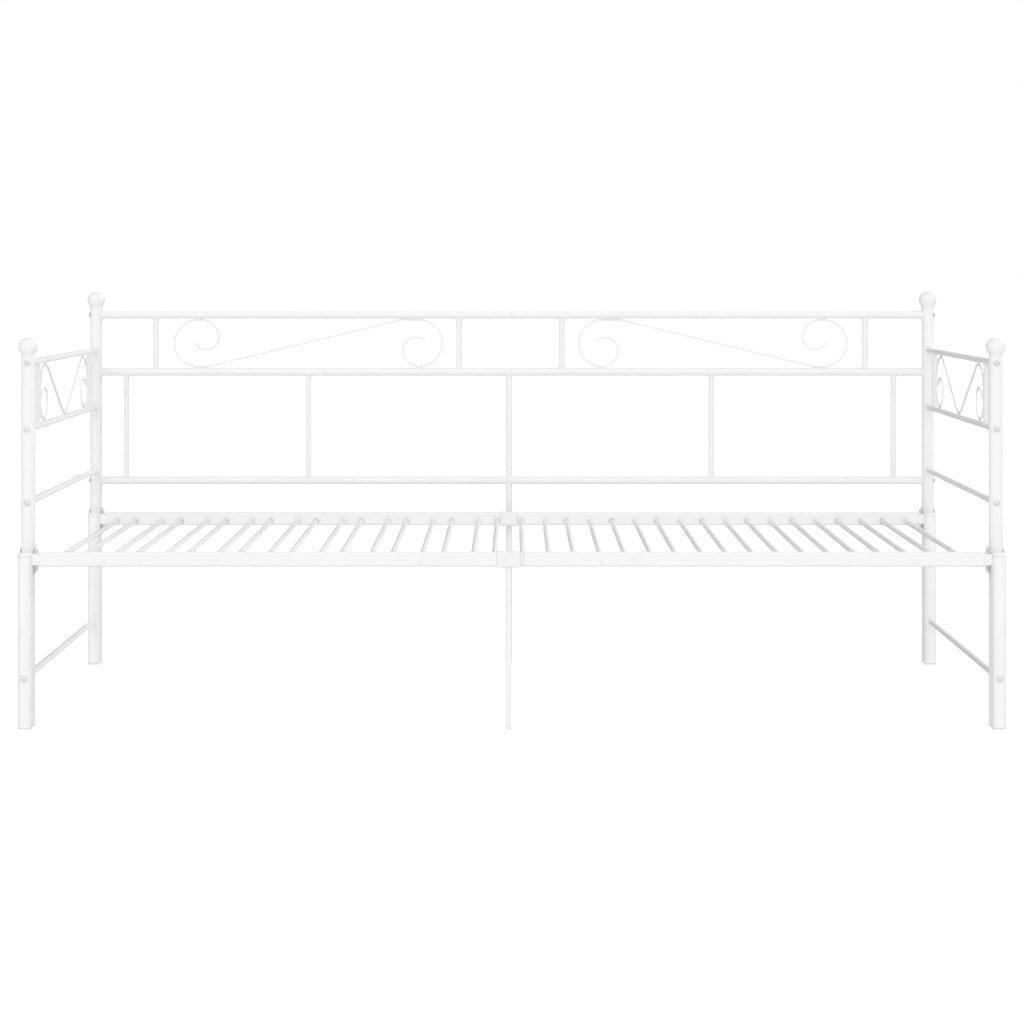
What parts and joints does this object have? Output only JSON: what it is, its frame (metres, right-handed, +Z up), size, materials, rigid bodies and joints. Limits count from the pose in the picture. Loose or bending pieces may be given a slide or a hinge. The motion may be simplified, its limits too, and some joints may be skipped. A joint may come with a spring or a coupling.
{
  "type": "daybed",
  "caption": "Tubular steel daybed with ball-topped posts, scrollwork arms and back, interleaved slats and a pull-out front frame that doubles its width.",
  "frame": {"origin": "middle of the closed daybed's footprint, on the floor", "axes": "+X along its length to the right as seen from the front, -Y to the front, where the pull-out slides, +Z up"},
  "size_m": [2.082, 0.9988, 0.9093],
  "materials": {
    "frame_paint": "satin white powder coat over steel tube",
    "slat_paint": "satin white powder coat over thin steel tube",
    "cap_plastic": "smooth white moulded plastic",
    "joiner_plastic": "fine-textured white moulded plastic",
    "bright_zinc": "bright zinc-plated steel"
  },
  "bodies": {
    "frame": {"arm_panel_left": "frame_paint", "arm_panel_right": "frame_paint", "arm_scroll_left": "frame_paint", "arm_scroll_right": "frame_paint", "back_panel_left": "frame_paint", "back_panel_right": "frame_paint", "back_scroll_left": "frame_paint", "back_scroll_right": "frame_paint", "centre_stile": "frame_paint", "centre_stile_foot": "cap_plastic", "fixed_front_joiner": "joiner_plastic", "fixed_front_rail_left": "frame_paint", "fixed_front_rail_right": "frame_paint", "fixed_rear_joiner": "joiner_plastic", "fixed_rear_rail_left": "frame_paint", "fixed_rear_rail_right": "frame_paint", "fixed_slats_left": "slat_paint", "fixed_slats_right": "slat_paint", "front_foot_left": "cap_plastic", "front_foot_right": "cap_plastic", "front_knob_left": "cap_plastic", "front_knob_right": "cap_plastic", "front_post_left": "frame_paint", "front_post_right": "frame_paint", "middle_rail_dowel": "bright_zinc", "rear_foot_left": "cap_plastic", "rear_foot_right": "cap_plastic", "rear_knob_left": "cap_plastic", "rear_knob_right": "cap_plastic", "rear_post_left": "frame_paint", "rear_post_right": "frame_paint", "side_bar_left": "frame_paint", "side_bar_right": "frame_paint", "top_rail_dowel": "bright_zinc"},
    "pull_out": {"centre_leg": "frame_paint", "centre_leg_foot": "cap_plastic", "guide_bar_left": "frame_paint", "guide_bar_right": "frame_paint", "pull_front_cap_left": "cap_plastic", "pull_front_cap_right": "cap_plastic", "pull_front_foot_left": "cap_plastic", "pull_front_foot_right": "cap_plastic", "pull_front_joiner": "joiner_plastic", "pull_front_leg_left": "frame_paint", "pull_front_leg_right": "frame_paint", "pull_front_rail_left": "frame_paint", "pull_front_rail_right": "frame_paint", "pull_rear_cap_left": "cap_plastic", "pull_rear_cap_right": "cap_plastic", "pull_rear_foot_left": "cap_plastic", "pull_rear_foot_right": "cap_plastic", "pull_rear_joiner": "joiner_plastic", "pull_rear_leg_left": "frame_paint", "pull_rear_leg_right": "frame_paint", "pull_rear_rail_left": "frame_paint", "pull_rear_rail_right": "frame_paint", "pull_slats_left": "slat_paint", "pull_slats_right": "slat_paint"}
  },
  "joints": [
    {"name": "pull_out_slide", "type": "slide", "parent": "frame", "child": "pull_out", "axis": [0, -1, 0], "range_m": [0, 0.85]}
  ]
}
